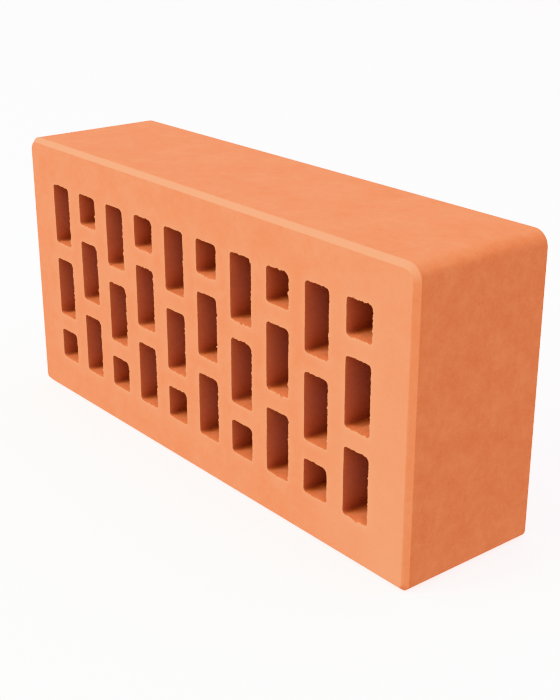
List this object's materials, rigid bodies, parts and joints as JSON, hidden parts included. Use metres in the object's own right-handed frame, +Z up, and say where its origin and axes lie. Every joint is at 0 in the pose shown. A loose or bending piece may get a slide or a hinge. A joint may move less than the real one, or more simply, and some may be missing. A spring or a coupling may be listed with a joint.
{
  "type": "hollow clay facing brick",
  "caption": "Hollow clay facing brick with staggered through slots and bevelled bed faces, standing on a long narrow side, for laying in mortar.",
  "frame": {"origin": "centre of the long narrow side that the brick stands on", "axes": "+X along the brick's length, +Y through the brick along its slots, from the bed face seen in front to the one behind, +Z up to the exposed long side"},
  "size_m": [0.25, 0.065, 0.12],
  "materials": {
    "fired_clay": "matt unglazed terracotta, smooth extruded sides and wire-cut bed faces"
  },
  "bodies": {
    "root": {"brick": "fired_clay"}
  },
  "joints": []
}
